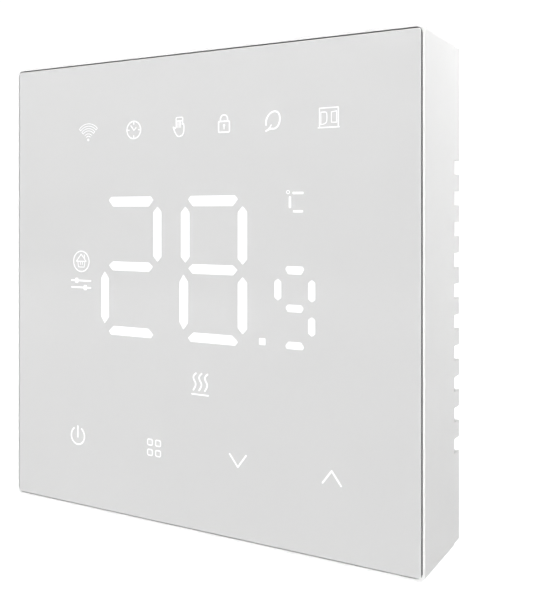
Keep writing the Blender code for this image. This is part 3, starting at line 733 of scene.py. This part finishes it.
# ------------------------------------------------------------------ the rest
POLISH = {
    "rear_cover": ("rear_cover_shell", "grey_plastic", 0.18),
    "mounting_plate": ("plate_sheet", "zinc_steel", 0.16),
    "power_housing": ("housing_tub", "black_plastic", 0.22),
    "base_cover": ("base_cover_shell", "grey_plastic", 0.18),
    "terminal_block": ("terminal_body", "green_housing", 0.15),
    "header_socket": ("socket_body", "black_plastic", 0.10),
    "relay_case": ("relay_shell", "blue_case", 0.30),
    "film_capacitor": ("film_capacitor_body", "film_case", 0.5),
    "fuse": ("fuse_body", "black_plastic", 0.20),
    "radio_module": ("radio_can", "tin_can", 0.2),
    "bridge_rectifier": ("rectifier_body", "black_plastic", 0.15),
}
for node, (piece, mat, width) in POLISH.items():
    polish(node, piece, M[mat], width, 2, 30.0)
for k in range(1, 5):
    polish(f"cover_screw_{k}", f"cover_screw_part_{k}", M["screw_steel"], 0.12, 2, 40.0)
    polish(f"housing_screw_{k}", f"housing_screw_part_{k}", M["screw_steel"], 0.12, 2, 40.0)
for k in range(1, 7):
    polish(f"terminal_screw_{k}", f"terminal_screw_part_{k}", M["screw_steel"], 0.12, 2, 40.0)
    polish(f"terminal_clamp_{k}", f"terminal_clamp_part_{k}", M["brass"], 0.10, 2, 40.0)
for label in ("left", "right"):
    polish(f"wall_screw_{label}", f"wall_screw_part_{label}", M["screw_steel"], 0.2, 2, 40.0)

SLOT_OF = {s["node"]: s["material_slot"] for s in frame["record"]["subparts"]}
for node, ob in NODES.items():
    mat = M.get(SLOT_OF.get(node))
    if mat is None:
        continue
    ob.data.materials.clear()
    ob.data.materials.append(mat)

# ------------------------------------------------------------------ stage and light
bm = bmesh.new()
zf = -0.125
n = 24
verts = {}
size = 3.0
for i in range(n + 1):
    for j in range(n + 1):
        verts[i, j] = bm.verts.new((-size + 2 * size * i / n, -size + 2 * size * j / n, zf))
for i in range(n):
    for j in range(n):
        bm.faces.new([verts[i, j], verts[i + 1, j], verts[i + 1, j + 1], verts[i, j + 1]])
floor_mesh = bpy.data.meshes.new("floor")
bm.to_mesh(floor_mesh)
bm.free()
floor_mesh.materials.append(plastic("floor_paper", (0.93, 0.93, 0.93), 0.7, 300.0, 0.00002, 0.004, 0.0, 0.1, 3.0))
floor = bpy.data.objects.new("floor", floor_mesh)
scene.collection.objects.link(floor)

world = bpy.data.worlds.new("studio")
world.use_nodes = True
scene.world = world
wt = world.node_tree
wt.nodes.clear()
out = wt.nodes.new("ShaderNodeOutputWorld")
seen_bg = wt.nodes.new("ShaderNodeBackground")
seen_bg.inputs["Color"].default_value = (1, 1, 1, 1)
seen_bg.inputs["Strength"].default_value = 1.05
fill_bg = wt.nodes.new("ShaderNodeBackground")
fill_bg.inputs["Color"].default_value = (1, 1, 1, 1)
fill_bg.inputs["Strength"].default_value = 0.155
path = wt.nodes.new("ShaderNodeLightPath")
mixer = wt.nodes.new("ShaderNodeMixShader")
either = wt.nodes.new("ShaderNodeMath")
either.operation = "MAXIMUM"
shiny = wt.nodes.new("ShaderNodeMath")
shiny.operation = "MULTIPLY"
shiny.inputs[1].default_value = 0.85
wt.links.new(path.outputs["Is Glossy Ray"], shiny.inputs[0])
wt.links.new(path.outputs["Is Camera Ray"], either.inputs[0])
wt.links.new(shiny.outputs[0], either.inputs[1])
wt.links.new(either.outputs[0], mixer.inputs[0])
wt.links.new(fill_bg.outputs[0], mixer.inputs[1])
wt.links.new(seen_bg.outputs[0], mixer.inputs[2])
wt.links.new(mixer.outputs[0], out.inputs["Surface"])


def softbox(name, location, target, size_x, size_y, power):
    data = bpy.data.lights.new(name, "AREA")
    data.shape = "RECTANGLE"
    data.size, data.size_y = size_x, size_y
    data.energy = power
    ob = bpy.data.objects.new(name, data)
    ob.location = location
    ob.rotation_euler = (Vector(target) - Vector(location)).to_track_quat("-Z", "Y").to_euler()
    scene.collection.objects.link(ob)
    return ob


softbox("front_softbox", (0.02, -0.30, 0.38), (0, -0.018, 0.0), 0.30, 0.20, 1.16)
softbox("side_softbox", (0.115, 0.03, 0.085), (0.043, -0.008, 0.01), 0.10, 0.08, 0.083)
sun_data = bpy.data.lights.new("overhead", "SUN")
sun_data.energy = 1.20
sun_data.angle = math.radians(25)
sun = bpy.data.objects.new("overhead", sun_data)
scene.collection.objects.link(sun)

# a wash of light that only the floor round the object receives
receivers = bpy.data.collections.new("floor_wash_receivers")
receivers.objects.link(floor)
for name, x, y, size_x, size_y in (
    ("floor_wash_back", -1.30, 1.90, 4.6, 3.4),
    ("floor_wash_front", 0.0, -2.10, 6.0, 3.0),
    ("floor_wash_left", -1.70, -0.40, 2.6, 1.7),
    ("floor_wash_right", 2.35, 0.90, 2.5, 4.2),
):
    wash_data = bpy.data.lights.new(name, "AREA")
    wash_data.shape = "RECTANGLE"
    wash_data.size, wash_data.size_y = size_x, size_y
    wash_data.energy = 2.95 * size_x * size_y
    wash_data.spread = math.radians(70)
    wash = bpy.data.objects.new(name, wash_data)
    wash.location = (x, y, 0.9)
    scene.collection.objects.link(wash)
    wash.light_linking.receiver_collection = receivers

scene.view_settings.view_transform = "Standard"
scene.view_settings.look = "None"
scene.view_settings.exposure = 0.0
scene.view_settings.gamma = 1.0
